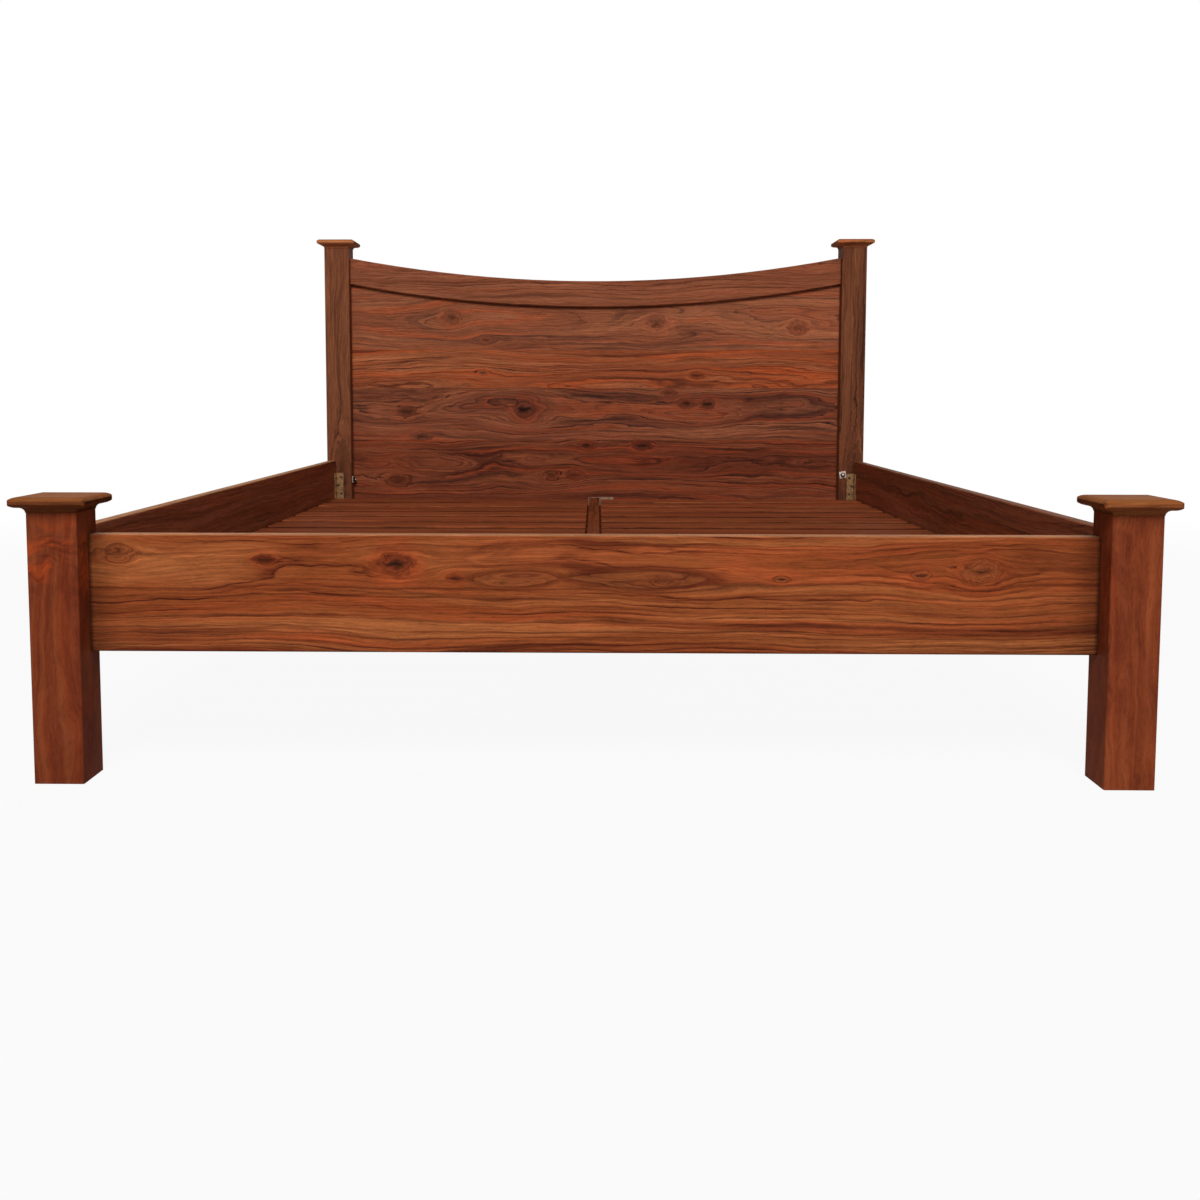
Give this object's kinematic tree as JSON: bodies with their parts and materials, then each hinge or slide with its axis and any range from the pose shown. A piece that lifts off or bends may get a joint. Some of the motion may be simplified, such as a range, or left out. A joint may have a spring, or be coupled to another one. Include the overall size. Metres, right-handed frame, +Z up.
{
  "type": "wooden double bed frame",
  "caption": "Low double bed in solid hardwood with square capped posts, a dipped plank headboard, a plain foot rail and lift-out slat panels on a centre rail.",
  "frame": {"origin": "on the floor under the middle of the bed's bounding box", "axes": "+X toward the right side seen from the foot end, +Y along the bed toward the headboard, +Z up"},
  "size_m": [1.72, 2.236, 1.06],
  "materials": {
    "post_wood": "satin oiled hardwood, grain upright",
    "cap_wood": "satin oiled hardwood",
    "head_rail_wood": "satin oiled hardwood, grain along the rail",
    "plank_wood": "satin oiled hardwood, grain along the plank",
    "foot_rail_wood": "satin oiled hardwood, grain along the rail",
    "side_rail_wood": "satin oiled hardwood, grain along the rail",
    "slat_wood": "satin oiled hardwood, grain along the slat",
    "plain_wood": "satin oiled hardwood",
    "yellow_zinc": "yellow zinc plated steel",
    "bright_zinc": "bright zinc plated steel"
  },
  "bodies": {
    "frame": {"head_post_left": "post_wood", "head_post_right": "post_wood", "foot_post_left": "post_wood", "foot_post_right": "post_wood", "head_cap_left": "cap_wood", "head_cap_right": "cap_wood", "foot_cap_left": "cap_wood", "foot_cap_right": "cap_wood", "head_top_rail": "head_rail_wood", "head_bottom_rail": "head_rail_wood", "headboard_plank_1": "plank_wood", "headboard_plank_2": "plank_wood", "headboard_plank_3": "plank_wood", "headboard_plank_4": "plank_wood", "foot_rail": "foot_rail_wood", "side_rail_left": "side_rail_wood", "side_rail_right": "side_rail_wood", "side_ledger_left": "plain_wood", "side_ledger_right": "plain_wood", "centre_rail": "plain_wood", "centre_ledgers": "plain_wood", "centre_leg": "plain_wood", "corner_angles": "yellow_zinc", "centre_hangers": "bright_zinc", "post_bolts": "bright_zinc", "frame_screws": "bright_zinc"},
    "left_slat_panel": {"batten_left_inner": "plain_wood", "batten_left_outer": "plain_wood", "slat_screws_left": "bright_zinc", "slat_left_01": "slat_wood", "slat_left_02": "slat_wood", "slat_left_03": "slat_wood", "slat_left_04": "slat_wood", "slat_left_05": "slat_wood", "slat_left_06": "slat_wood", "slat_left_07": "slat_wood", "slat_left_08": "slat_wood", "slat_left_09": "slat_wood", "slat_left_10": "slat_wood", "slat_left_11": "slat_wood", "slat_left_12": "slat_wood", "slat_left_13": "slat_wood", "slat_left_14": "slat_wood"},
    "right_slat_panel": {"batten_right_inner": "plain_wood", "batten_right_outer": "plain_wood", "slat_screws_right": "bright_zinc", "slat_right_01": "slat_wood", "slat_right_02": "slat_wood", "slat_right_03": "slat_wood", "slat_right_04": "slat_wood", "slat_right_05": "slat_wood", "slat_right_06": "slat_wood", "slat_right_07": "slat_wood", "slat_right_08": "slat_wood", "slat_right_09": "slat_wood", "slat_right_10": "slat_wood", "slat_right_11": "slat_wood", "slat_right_12": "slat_wood", "slat_right_13": "slat_wood", "slat_right_14": "slat_wood"}
  },
  "joints": [
    {"name": "left_panel_lift", "type": "slide", "parent": "frame", "child": "left_slat_panel", "axis": [0, 0, 1], "range_m": [0, 0.2]},
    {"name": "right_panel_lift", "type": "slide", "parent": "frame", "child": "right_slat_panel", "axis": [0, 0, 1], "range_m": [0, 0.2]}
  ]
}
